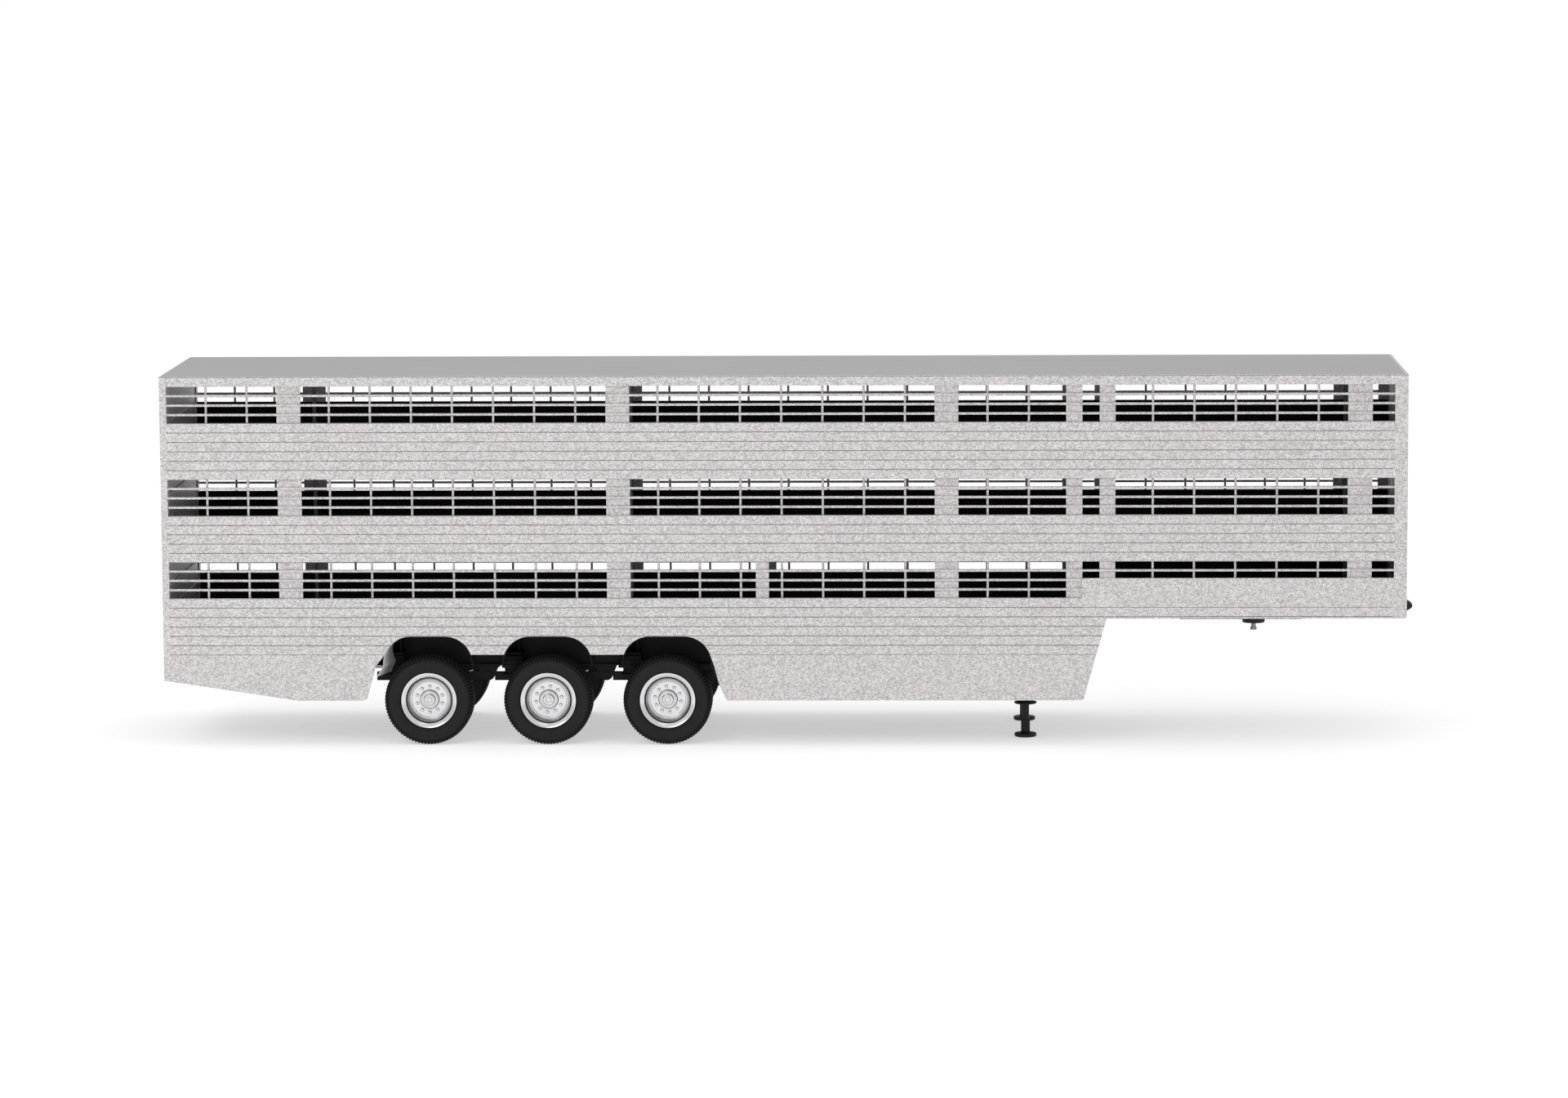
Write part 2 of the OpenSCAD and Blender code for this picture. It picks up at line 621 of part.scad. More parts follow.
kingpin_s = body_l - kingpin_back;
plate_t = 14;
boss_h = 111;
boss_z = goose_beam_z - plate_t - boss_h;
kingpin_root_d = 90;
module coupler_plate() color(black) from_rear() {
    difference() {
        block([kingpin_s - 850, -600, goose_beam_z - plate_t], [kingpin_s + 500, 600, goose_beam_z]);
        translate([kingpin_s, 0, 0]) cylinder(d = kingpin_root_d, h = body_top);
    }
    translate([kingpin_s, 0, boss_z]) rotate_extrude()
        polygon([[kingpin_root_d / 2, 0], [122, 0], [144, boss_h], [kingpin_root_d / 2, boss_h]]);
}

neck_d = 50.8;
neck_l = 53;
collar_d = 71.4;
collar_l = 31;
module kingpin() color(black) from_rear() translate([kingpin_s, 0, 0]) {
    translate([0, 0, boss_z]) cylinder(d = kingpin_root_d, h = boss_h + plate_t);
    translate([0, 0, boss_z - neck_l]) cylinder(d = neck_d, h = neck_l);
    translate([0, 0, boss_z - neck_l - collar_l]) cylinder(d = collar_d, h = collar_l);
}

leg_y = leg_span / 2;
leg_flange_z = 368;
leg_flange_d = 248;
leg_tube_d = 124;
sleeve_d = 100;
sleeve_top = 192;
leg_top = beam_top - beam_flange_t;
leg_stroke = 300;
module landing_leg_housings() color(black) from_rear() both_sides() translate([leg_s, leg_y, 0]) {
    r = leg_rod_d / 2 + run_gap;
    entry = sleeve_d / 2 + 1;
    entry_top = sleeve_top + leg_stroke + 60;
    rotate_extrude() polygon([
        [entry, leg_flange_z], [leg_flange_d / 2 - 8, leg_flange_z], [leg_flange_d / 2, leg_flange_z + 8],
        [leg_flange_d / 2, leg_flange_z + 18], [leg_tube_d / 2, leg_flange_z + 26], [leg_tube_d / 2, leg_top],
        [0, leg_top], [0, leg_top - 14], [r, leg_top - 14], [r, entry_top], [entry, entry_top]]);
    // Bracket onto the beam's web
    block([-70, beam_y + beam_web_t / 2 - leg_y, beam_z + beam_flange_t],
          [70, beam_y + beam_flange_w / 2 - leg_y, leg_top]);
    difference() {
        block([-70, beam_y + beam_flange_w / 2 - leg_y, beam_z + beam_flange_t], [70, 0, leg_top]);
        translate([0, 0, 0]) cylinder(d = leg_tube_d, h = body_top);
    }
}

module landing_leg(left) color(black) from_rear() on_side(left) translate([leg_s, leg_y, 0])
    rotate_extrude() polygon(concat([[0, 0], [foot_d / 2 - 14, 0]],
        arc([foot_d / 2 - 12, 14], 12, -60, 0, 4), arc([foot_d / 2 - 12, 30], 12, 0, 80, 5),
        [[sleeve_d / 2 + 8, 48], [sleeve_d / 2, 58], [sleeve_d / 2, sleeve_top - 6],
         [leg_rod_d / 2 + 4, sleeve_top], [leg_rod_d / 2, sleeve_top],
         [leg_rod_d / 2, leg_top - 30 - leg_stroke], [0, leg_top - 30 - leg_stroke]]));

bumper_s = 60;
bumper_z = 730;
bumper_h = 110;
module rear_bumper() color(black) from_rear() {
    block([bumper_s, -1180, bumper_z], [beam_rear_s, 1180, bumper_z + bumper_h]);
    both_sides() block([bumper_s + 40, beam_y - 40, bumper_z + bumper_h],
                       [beam_rear_s, beam_y + 40, bumper_z + 2.5 * bumper_h]);
}

module tail_lamps() color(lamp_red) from_rear() both_sides() for (y = [700, 840, 980])
    translate([bumper_s - 22, y + 60, bumper_z + bumper_h / 2]) rotate([0, 90, 0]) cylinder(d = 100, h = 22);

tank_s = 6900;
tank_d = 246;
tank_l = 720;
tank_pitch = 860;
tank_y = 240;
tank_z = beam_z + 160;
rail_h = 30;
module air_reservoirs() color(black) from_rear() both_sides() {
    for (s = [tank_s, tank_s + tank_pitch]) {
        translate([s, tank_y, tank_z]) rotate([0, 90, 0]) cylinder(d = tank_d, h = tank_l);
        // Straps up to the hanger rail
        for (e = [120, tank_l - 160]) difference() {
            block([s + e, tank_y - tank_d / 2 - 6, tank_z],
                  [s + e + 40, tank_y + tank_d / 2 + 6, beam_top - rail_h]);
            translate([s - 1, tank_y, tank_z]) rotate([0, 90, 0]) cylinder(d = tank_d, h = tank_l + 2);
        }
    }
    // Hanger rail under the crossmembers
    block([tank_s, tank_y - 30, beam_top - rail_h], [tank_s + tank_pitch + tank_l, tank_y + 30, beam_top]);
}

module connector_hood() color(black) from_rear() upright(-150, 150) polygon([
    [body_l, goose_z + 71], [body_l, goose_z], [body_l - 34, goose_z], [body_l - 34, goose_beam_z + 3],
    [body_l + 100, goose_beam_z + 14], [body_l + hood_out, goose_beam_z + 50],
    [body_l + hood_out, goose_z + 4], [body_l + 50, goose_z + 71]]);

// ---- Decks and gates ----

guide_list = [for (k = [0, 1, 2, 5]) post_list[k][0] + post_list[k][1] / 2];
guide_w = 40;
guide_t = 12;
shoe_gap = 0.5;
deck_y = room_y - guide_t - 4;
module deck_guides() color(liner_grey) from_rear() both_sides() for (s = guide_list)
    block([s - guide_w / 2, room_y - guide_t, (s < band_step_s ? floor_z : goose_floor_z) + 10],
          [s + guide_w / 2, room_y, roof_in - bow_h - 4]);

deck_skin_t = 8;
deck_rib_w = 40;
deck_s0 = rear_end_l + 20;
deck_s1 = body_l - 60;
// A deck plate on a frame of ribs, with a shoe each side of every guide
module deck(z) {
    block([deck_s0, -deck_y, z - deck_skin_t], [deck_s1, deck_y, z]);
    both_sides() block([deck_s0, deck_y - deck_rib_w, z - deck_t], [deck_s1, deck_y, z - deck_skin_t]);
    for (k = [0:27]) let (s = deck_s0 + k * (deck_s1 - deck_s0 - deck_rib_w) / 27)
        block([s, -deck_y + deck_rib_w, z - deck_t], [s + deck_rib_w, deck_y - deck_rib_w, z - deck_skin_t]);
    both_sides() for (s = guide_list, e = [-guide_w / 2 - shoe_gap - 40, guide_w / 2 + shoe_gap])
        block([s + e, deck_y, z - deck_t], [s + e + 40, room_y - 2, z]);
    for (s = [400:500:body_l - 300]) if (abs(s - gate_s) > 120)
        block([s, -deck_y + 60, z], [s + 20, deck_y - 60, z + 5]);
    gate_post(z);
}

module mid_deck() color(liner_grey) from_rear() deck(mid_deck_z);
module top_deck() color(liner_grey) from_rear() deck(top_deck_z);

gate_t = 30;
eye_d = 44;
eye_h = 40;
gate_lift = 20;
// A tube gate across the deck, hung on its upright pin
module gate(z) translate([gate_s, 0, z]) {
    y1 = gate_post_y - eye_d / 2;
    y0 = -gate_post_y - 20;
    rail = 40;
    for (h = [gate_lift, gate_h - gate_lift - rail])
        block([-gate_t / 2, y0, h], [gate_t / 2, y1, h + rail]);
    for (y = [y0, y0 + (y1 - y0) / 3, y0 + 2 * (y1 - y0) / 3, y1 - rail])
        block([-gate_t / 2, y, gate_lift + rail], [gate_t / 2, y + rail, gate_h - gate_lift - rail]);
    for (h = [150:120:gate_h - 150], k = [0:2])
        block([-10, y0 + rail + k * (y1 - y0) / 3, h], [10, y0 + (k + 1) * (y1 - y0) / 3 - (k == 2 ? rail : 0), h + 24]);
    for (h = [gate_lift + 10, gate_h - gate_lift - eye_h - 20]) difference() {
        union() {
            translate([0, gate_post_y, h]) cylinder(d = eye_d, h = eye_h);
            block([-gate_t / 2, y1, h], [gate_t / 2, gate_post_y, h + eye_h]);
        }
        translate([0, gate_post_y, h - 1]) cylinder(d = gate_pin_d + 2 * run_gap, h = eye_h + 2);
    }
}

module lower_gate() color(silver) from_rear() gate(floor_z);
module middle_gate() color(silver) from_rear() gate(mid_deck_z);
module upper_gate() color(silver) from_rear() gate(top_deck_z);

main_beams();
crossmembers();
lower_floor();
gooseneck_floor();
side_planks(false);  // side_planks_right
side_planks(true);  // side_planks_left
side_frame(false);  // side_frame_right
side_frame(true);  // side_frame_left
vent_bars(false);  // vent_bars_right
vent_bars(true);  // vent_bars_left
vent_rods();
inner_lining();
front_wall();
roof_sheet();
roof_bows();
rear_portal();
skirt(false);  // skirt_right
skirt(true);  // skirt_left
arch_liners();
mudguards();
suspension_hangers();
air_springs(0);  // air_springs_rear
air_springs(1);  // air_springs_middle
air_springs(2);  // air_springs_front
coupler_plate();
kingpin();
landing_leg_housings();
rear_bumper();
tail_lamps();
air_reservoirs();
connector_hood();
deck_guides();
axle(0);  // axle_rear
axle(1);  // axle_middle
axle(2);  // axle_front
trailing_arms(0);  // trailing_arms_rear
trailing_arms(1);  // trailing_arms_middle
trailing_arms(2);  // trailing_arms_front
tyre(0, false);  // tyre_rear_right
tyre(0, true);  // tyre_rear_left
tyre(1, false);  // tyre_middle_right
tyre(1, true);  // tyre_middle_left
tyre(2, false);  // tyre_front_right
tyre(2, true);  // tyre_front_left
rim(0, false);  // rim_rear_right
rim(0, true);  // rim_rear_left
rim(1, false);  // rim_middle_right
rim(1, true);  // rim_middle_left
rim(2, false);  // rim_front_right
rim(2, true);  // rim_front_left
landing_leg(false);  // landing_leg_right
landing_leg(true);  // landing_leg_left
mid_deck();
top_deck();
loading_ramp();
rear_flap();
lower_gate();
middle_gate();
upper_gate();
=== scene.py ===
"""Looks of a three-deck livestock semi-trailer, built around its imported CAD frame.

The CAD nodes give every structural piece. This script dresses them in procedural
finishes and adds the shaped pieces: treaded tyres, dished rims with their nuts, bellows
air springs, angled arch liners, ringed tail lamps and a moulded connector hood.
"""
import json
import logging
import math
from dataclasses import dataclass, field
from enum import Enum
from typing import Callable

import bmesh
import bpy
import numpy as np
from mathutils import Euler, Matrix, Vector


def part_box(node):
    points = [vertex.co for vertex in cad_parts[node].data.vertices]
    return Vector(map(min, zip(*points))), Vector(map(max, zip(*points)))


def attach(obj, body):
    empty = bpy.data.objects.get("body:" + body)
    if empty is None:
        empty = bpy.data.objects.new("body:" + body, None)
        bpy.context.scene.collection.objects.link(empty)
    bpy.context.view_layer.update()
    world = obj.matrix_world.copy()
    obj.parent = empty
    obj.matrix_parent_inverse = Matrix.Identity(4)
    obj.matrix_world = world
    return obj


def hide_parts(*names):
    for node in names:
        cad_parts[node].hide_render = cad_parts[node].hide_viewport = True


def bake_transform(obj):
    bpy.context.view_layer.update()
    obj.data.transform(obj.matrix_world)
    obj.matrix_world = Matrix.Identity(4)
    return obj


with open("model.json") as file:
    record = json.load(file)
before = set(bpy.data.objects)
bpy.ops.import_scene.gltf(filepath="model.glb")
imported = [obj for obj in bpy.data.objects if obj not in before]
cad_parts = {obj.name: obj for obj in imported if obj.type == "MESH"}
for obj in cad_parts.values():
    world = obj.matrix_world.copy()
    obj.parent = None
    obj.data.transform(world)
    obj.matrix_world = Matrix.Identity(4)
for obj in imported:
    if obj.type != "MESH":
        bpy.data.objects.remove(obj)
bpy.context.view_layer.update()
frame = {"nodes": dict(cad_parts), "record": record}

LOG = logging.getLogger("livestock_trailer")
MM = 0.001
Number = float | int
Colour = tuple[float, float, float]


# ---- Shader maths ----

class Wave:
    """A number socket in a node tree, with Python's operators adding Math nodes."""

    def __init__(self, graph: "Graph", socket: bpy.types.NodeSocket) -> None:
        """Wraps one output socket of a graph."""
        self.graph = graph
        self.socket = socket

    def _math(self, operation: str, *values: "Wave | Number") -> "Wave":
        """Adds one Math node.

        Args:
            operation: the Math node's operation.
            values: its inputs in order, sockets or numbers.

        Returns:
            The node's output.
        """
        return self.graph.node("ShaderNodeMath", {"operation": operation},
                               dict(enumerate(values)))

    def __add__(self, other: "Wave | Number") -> "Wave":
        """The sum."""
        return self._math("ADD", self, other)

    def __mul__(self, other: "Wave | Number") -> "Wave":
        """The product."""
        return self._math("MULTIPLY", self, other)

    def __sub__(self, other: "Wave | Number") -> "Wave":
        """The difference."""
        return self._math("SUBTRACT", self, other)

    def __rsub__(self, other: Number) -> "Wave":
        """The difference from a number."""
        return self._math("SUBTRACT", other, self)

    __radd__ = __add__
    __rmul__ = __mul__

    def step(self, low: float, high: float) -> "Wave":
        """Rises from 0 to 1 as the value goes from low to high.

        Args:
            low: the value that gives 0.
            high: the value that gives 1.

        Returns:
            The clamped ramp.
        """
        return self.graph.node("ShaderNodeMapRange", {"clamp": True},
                               {"Value": self, "From Min": low, "From Max": high})


class Graph:
    """The node tree of one material, ending in a Principled shader."""

    def __init__(self, name: str) -> None:
        """Makes an empty material of that name."""
        self.material = bpy.data.materials.new(name)
        self.material.use_nodes = True
        self.tree = self.material.node_tree
        self.shader = self.tree.nodes["Principled BSDF"]

    def node(self, kind: str, settings: dict, values: dict, out: int | str = 0) -> Wave:
        """Adds one node.

        Args:
            kind: the node's type name.
            settings: properties that are set first.
            values: numbers, colours or sockets by input name or index.
            out: which output is returned.

        Returns:
            The chosen output.
        """
        made = self.tree.nodes.new(kind)
        for key, value in settings.items():
            setattr(made, key, value)
        for key, value in values.items():
            if isinstance(value, Wave):
                self.tree.links.new(value.socket, made.inputs[key])
            else:
                made.inputs[key].default_value = value
        return Wave(self, made.outputs[out])

    def place(self, stretch: tuple[float, float, float] = (1, 1, 1)) -> Wave:
        """Object coordinates, stretched along each axis.

        Args:
            stretch: the scale of the pattern along X, Y and Z.

        Returns:
            The mapped vector.
        """
        raw = self.node("ShaderNodeTexCoord", {}, {}, "Object")
        return self.node("ShaderNodeMapping", {}, {"Vector": raw, "Scale": stretch})

    def noise(self, scale: float, detail: float = 3, stretch: tuple = (1, 1, 1)) -> Wave:
        """Smooth noise of about 0 to 1.

        Args:
            scale: features per metre.
            detail: octaves.
            stretch: the scale along each axis.

        Returns:
            The noise value.
        """
        return self.node("ShaderNodeTexNoise", {}, {
            "Vector": self.place(stretch), "Scale": scale, "Detail": detail, "Roughness": 0.6})

    def cells(self, scale: float) -> Wave:
        """A random number in each small cell, as flakes in a coarse paint have.

        Args:
            scale: cells per metre.

        Returns:
            A number from 0 to 1 in each cell.
        """
        found = self.node("ShaderNodeTexVoronoi", {},
                          {"Vector": self.place(), "Scale": scale}, "Color")
        return self.node("ShaderNodeSeparateColor", {}, {0: found}, 0)

    def across(self) -> Wave:
        """The distance from the vehicle's middle plane, |y|."""
        raw = self.node("ShaderNodeTexCoord", {}, {}, "Object")
        y = self.node("ShaderNodeSeparateXYZ", {}, {0: raw}, 1)
        return self.node("ShaderNodeMath", {"operation": "ABSOLUTE"}, {0: y})

    def painted(self, name: str) -> Wave:
        """A number that the mesh carries at its points.

        Args:
            name: the attribute's name.

        Returns:
            Its value.
        """
        return self.node("ShaderNodeAttribute", {"attribute_name": name}, {}, "Fac")

    def blend(self, mask: Wave, low: Colour | Wave, high: Colour | Wave) -> Wave:
        """Mixes two colours.

        Args:
            mask: 0 for low, 1 for high.
            low: the first colour, or a socket.
            high: the second colour, or a socket.

        Returns:
            The mixed colour.
        """
        high_value = high if isinstance(high, Wave) else (*high, 1)
        low_value = low if isinstance(low, Wave) else (*low, 1)
        return self.node("ShaderNodeMix", {"data_type": "RGBA"},
                         {"Factor": mask, 6: low_value, 7: high_value}, 2)

    def set(self, **sockets: "Wave | Number | Colour") -> None:
        """Sets the shader's sockets; an underscore stands for a space.

        Args:
            sockets: a value or link for each named socket.
        """
        for name, value in sockets.items():
            socket = self.shader.inputs[name.replace("_", " ")]
            if isinstance(value, Wave):
                self.tree.links.new(value.socket, socket)
            else:
                socket.default_value = (*value, 1) if isinstance(value, tuple) else value

    def bump(self, height: Wave, strength: float, distance: float) -> None:
        """Raises the surface by a height map.

        Args:
            height: the height, 0 to 1.
            strength: how much of it shows.
            distance: the height in metres that 1 stands for.
        """
        self.set(Normal=self.node("ShaderNodeBump", {}, {
            "Height": height, "Strength": strength, "Distance": distance}))


def shade(colour: Colour, share: float) -> Colour:
    """The colour made lighter or darker by a share."""
    return tuple(min(1.0, c * share) for c in colour)


# ---- Finishes ----

@dataclass(frozen=True)
class FlakePaint:
    """Metallic paint with coarse flakes of differing shade, dirt in soft clouds and painted shade
    in a wall's grooves.
    """

    colour: Colour
    wall: float = 0.0
    spread: float = 0.33
    flakes: float = 64.0
    metallic: float = 0.35
    rough: float = 0.42
    dirt: float = 0.05

    def material(self, name: str) -> bpy.types.Material:
        """The finish as a material of that name."""
        g = Graph(name)
        fleck = g.cells(self.flakes) * 0.6 + g.cells(self.flakes * 2.1) * 0.4
        cloud = g.noise(0.9, 4).step(0.3, 0.75)
        flaked = g.blend(fleck.step(0.12, 0.88), shade(self.colour, 1 - self.spread),
                         shade(self.colour, 1 + self.spread))
        base_tone = g.blend(cloud * self.dirt, flaked, shade(self.colour, 0.6))
        # painted shade: the wall's V-grooves are darkened to stand for the shade that falls in
        # them
        if self.wall:
            depth = self.wall - g.across()
            groove = depth.step(0.0002, 0.0014) * (1 - depth.step(0.0034, 0.0039))
            base_tone = g.blend(groove, base_tone, shade(self.colour, 0.3))
        g.set(Base_Color=base_tone, Metallic=self.metallic, Roughness=self.rough + 0.16 * fleck)
        g.bump(fleck, 0.35, 0.0006)
        return g.material


@dataclass(frozen=True)
class SatinPaint:
    """Plain satin paint on steel, with faint orange peel and dust in soft clouds."""

    colour: Colour
    dust: Colour = (0.05, 0.047, 0.043)
    amount: float = 0.3
    rough: float = 0.45
    metallic: float = 0.0
    gloss: float = 0.22

    def material(self, name: str) -> bpy.types.Material:
        """The finish as a material of that name."""
        g = Graph(name)
        cloud = g.noise(2.4, 5).step(0.42, 0.78)
        g.set(Base_Color=g.blend(cloud * self.amount, self.colour, self.dust),
              Roughness=self.rough + 0.2 * cloud, Metallic=self.metallic,
              Specular_IOR_Level=self.gloss)
        g.bump(g.noise(180, 2), 0.12, 0.0005)
        return g.material


@dataclass(frozen=True)
class Rubber:
    """Matt black rubber with a fine moulded grain and a dusty bloom."""

    colour: Colour = (0.012, 0.012, 0.0125)
    bloom: Colour = (0.02, 0.0198, 0.0195)

    def material(self, name: str) -> bpy.types.Material:
        """The finish as a material of that name."""
        g = Graph(name)
        bloom = g.noise(7, 4).step(0.4, 0.8)
        base_tone = g.blend(bloom, self.colour, self.bloom)
        g.set(Base_Color=g.blend(g.painted("shadow"), base_tone, shade(self.colour, 0.3)),
              Roughness=0.62 + 0.2 * bloom, Specular_IOR_Level=0.2)
        g.bump(g.noise(420, 2), 0.25, 0.0006)
        return g.material


@dataclass(frozen=True)
class BrightMetal:
    """Plated or bare metal with fine wear in its gloss."""

    colour: Colour
    rough: float = 0.16
    grain: tuple[float, float, float] = (1, 1, 1)
    wear: float = 0.18

    def material(self, name: str) -> bpy.types.Material:
        """The finish as a material of that name."""
        g = Graph(name)
        grain = g.noise(55, 3, self.grain)
        cloud = g.noise(6, 3).step(0.35, 0.8)
        plain = g.blend(grain.step(0.3, 0.75), shade(self.colour, 0.9), self.colour)
        g.set(Base_Color=g.blend(g.painted("shadow"), plain, shade(self.colour, 0.2)),
              Metallic=1.0, Roughness=self.rough + self.wear * cloud * 0.5 + 0.08 * grain)
        g.bump(grain, 0.1, 0.0004)
        return g.material


@dataclass(frozen=True)
class Lens:
    """Moulded lamp lens with a prism pattern under a clear gloss."""

    colour: Colour = (0.42, 0.012, 0.01)

    def material(self, name: str) -> bpy.types.Material:
        """The finish as a material of that name."""
        g = Graph(name)
        prism = g.node("ShaderNodeTexChecker", {}, {"Vector": g.place(), "Scale": 160.0}, "Fac")
        g.set(Base_Color=g.blend(prism, shade(self.colour, 0.72), self.colour),
              Roughness=0.12, Coat_Weight=0.6)
        g.bump(prism, 0.3, 0.0006)
        return g.material


FINISHES: dict[str, FlakePaint | SatinPaint | Rubber | BrightMetal | Lens] = {
    "silver_flake": FlakePaint((0.63, 0.605, 0.61), wall=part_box("side_planks_left")[1].y),
    # painted shade: the roof gets a darker copy of the sides' silver, standing for the roof
    # receiving less light than the sides
    "roof_paint": FlakePaint((0.455, 0.445, 0.455), spread=0.05, dirt=0.1),
    "black_steel": SatinPaint((0.012, 0.012, 0.013)),
    "kingpin_steel": BrightMetal((0.3, 0.3, 0.31), rough=0.35),
    "deck_metal": BrightMetal((0.34, 0.34, 0.35), rough=0.45, grain=(0.1, 1, 1)),
    "lining_panel": SatinPaint((0.014, 0.014, 0.015), amount=0.15, rough=0.6),
    "gate_tube": BrightMetal((0.5, 0.5, 0.51), rough=0.38),
    "tyre_rubber": Rubber(),
    "air_spring_rubber": Rubber((0.016, 0.016, 0.017)),
    "wheel_chrome": BrightMetal((0.8, 0.8, 0.81), rough=0.16),
    "mudguard_plastic": SatinPaint((0.011, 0.011, 0.012), amount=0.2, rough=0.5),
    "liner_metal": SatinPaint((0.66, 0.65, 0.66), dust=(0.45, 0.44, 0.43), gloss=0.5),
    "lamp_lens": Lens(),
}


# ---- Surfaces ----

class Form(Enum):
    """How a grid of points closes on itself."""

    OPEN = (False, False)
    RING = (False, True)
    TORUS = (True, True)


def grid_faces(rows: int, columns: int, form: Form) -> np.ndarray:
    """Quads over a grid of points, row by row.

    Args:
        rows: points along the first parameter.
        columns: points along the second.
        form: which of the two parameters wraps round.

    Returns:
        An array of four point numbers per face.
    """
    wrap_r, wrap_c = form.value
    r = np.arange(rows if wrap_r else rows - 1)[:, None]
    c = np.arange(columns if wrap_c else columns - 1)[None, :]
    r1, c1 = (r + 1) % rows, (c + 1) % columns
    quad = np.stack(np.broadcast_arrays(r * columns + c, r * columns + c1,
                                        r1 * columns + c1, r1 * columns + c), -1)
    return quad.reshape(-1, 4)


@dataclass
class Solid:
    """Points and quads gathered from several surfaces, to become one mesh."""

    points: list[np.ndarray] = field(default_factory=list)
    faces: list[np.ndarray] = field(default_factory=list)
    count: int = 0

    def add(self, grid: np.ndarray, form: Form, flip: bool = False) -> None:
        """Adds a grid surface.

        Args:
            grid: points, shaped rows by columns by 3.
            form: how it closes.
            flip: True turns the faces over.
        """
        quads = grid_faces(grid.shape[0], grid.shape[1], form)
        self.points.append(grid.reshape(-1, 3))
        self.faces.append((quads[:, ::-1] if flip else quads) + self.count)
        self.count += grid.shape[0] * grid.shape[1]

    def lathe(self, profile: np.ndarray, turns: int, loop: bool = True,
              wobble: np.ndarray | None = None) -> None:
        """Adds a surface of revolution about local Z: r cos(angle), r sin(angle), height.

        Args:
            profile: radius and height of each point.
            turns: segments round the axis.
            loop: True if the profile closes on itself.
            wobble: radial offsets, one row per profile point and one column per segment.
        """
        angle = np.linspace(0, 2 * np.pi, turns, endpoint=False)
        radius = profile[:, :1] + (0 if wobble is None else wobble)
        radius = np.broadcast_to(radius, (len(profile), turns))
        grid = np.stack([radius * np.cos(angle), radius * np.sin(angle),
                         np.broadcast_to(profile[:, 1:], radius.shape)], -1)
        self.add(grid, Form.TORUS if loop else Form.RING)

    def mesh(self, name: str, move: np.ndarray, sharp: float = 32.0) -> bpy.types.Object:
        """Builds the object, with its normals made to point outwards.

        Args:
            name: the piece's name.
            move: a 4 by 4 matrix from local points to the vehicle's frame.
            sharp: edges over this many degrees stay sharp.

        Returns:
            The new object, at the origin.
        """
        local = np.concatenate(self.points)
        world = local @ move[:3, :3].T + move[:3, 3]
        data = bpy.data.meshes.new(name)
        data.from_pydata(world, [], np.concatenate(self.faces))
        work = bmesh.new()
        work.from_mesh(data)
        bmesh.ops.remove_doubles(work, verts=work.verts, dist=1e-5)
        bmesh.ops.recalc_face_normals(work, faces=work.faces)
        work.to_mesh(data)
        work.free()
        data.shade_smooth()
        data.set_sharp_from_angle(angle=math.radians(sharp))
        made = bpy.data.objects.new(name, data)
        bpy.context.scene.collection.objects.link(made)
        return made


def smooth(value: np.ndarray, low: float, high: float) -> np.ndarray:
    """Rises from 0 to 1 between low and high as 3t^2 - 2t^3."""
    t = np.clip((value - low) / (high - low), 0, 1)
    return t * t * (3 - 2 * t)


def band(value: np.ndarray, low: float, high: float, edge: float) -> np.ndarray:
    """1 between low and high, falling to 0 over edge on both sides."""
    return smooth(value, low - edge, low) * (1 - smooth(value, high, high + edge))


def carry_shadow(piece: bpy.types.Object, move: np.ndarray,
                 rule: Callable[[np.ndarray, np.ndarray], np.ndarray]) -> None:
    """Writes how shaded each point is, from 0 to 1, as the mesh attribute "shadow".

    Args:
        piece: the object.
        move: the matrix from local points to the vehicle's frame.
        rule: gives the shade, from the local points' distance from local Z and the points.
    """
    world = np.empty(len(piece.data.vertices) * 3)
    piece.data.vertices.foreach_get("co", world)
    local = (np.c_[world.reshape(-1, 3), np.ones(len(world) // 3)] @ np.linalg.inv(move).T)[:, :3]
    layer = piece.data.attributes.new("shadow", "FLOAT", "POINT")
    shadow = np.clip(rule(np.hypot(local[:, 0], local[:, 1]), local), 0, 1)
    layer.data.foreach_set("value", shadow.astype(np.float32))


def round_corners(points: list[tuple[float, float]], radius: float, steps: int = 4) -> np.ndarray:
    """A closed outline whose corners become quadratic curves that start and end radius away.

    Args:
        points: the outline's corners.
        radius: how far from a corner the curve begins, at most 0.45 of either side.
        steps: segments in each curve.

    Returns:
        The rounded outline.
    """
    p = np.array(points, float)
    before, after = np.roll(p, 1, 0) - p, np.roll(p, -1, 0) - p
    lengths = [np.linalg.norm(v, axis=1, keepdims=True) for v in (before, after)]
    reach = np.minimum(radius, 0.45 * np.minimum(*lengths))
    a, b = p + before / lengths[0] * reach, p + after / lengths[1] * reach
    t = np.linspace(0, 1, steps + 1)[None, :, None]
    curve = (1 - t) ** 2 * a[:, None] + 2 * t * (1 - t) * p[:, None] + t ** 2 * b[:, None]
    return curve.reshape(-1, 2)


def turned(centre: Vector, out: float) -> np.ndarray:
    """The matrix that turns local Z outwards along Y.

    Args:
        centre: where the local origin goes.
        out: 1 for the left side, -1 for the right.

    Returns:
        A 4 by 4 matrix without mirroring.
    """
    move = np.eye(4)
    move[:3, :3] = [[out, 0, 0], [0, 0, out], [0, -1, 0]]
    move[:3, 3] = centre
    return move


# ---- Running gear ----

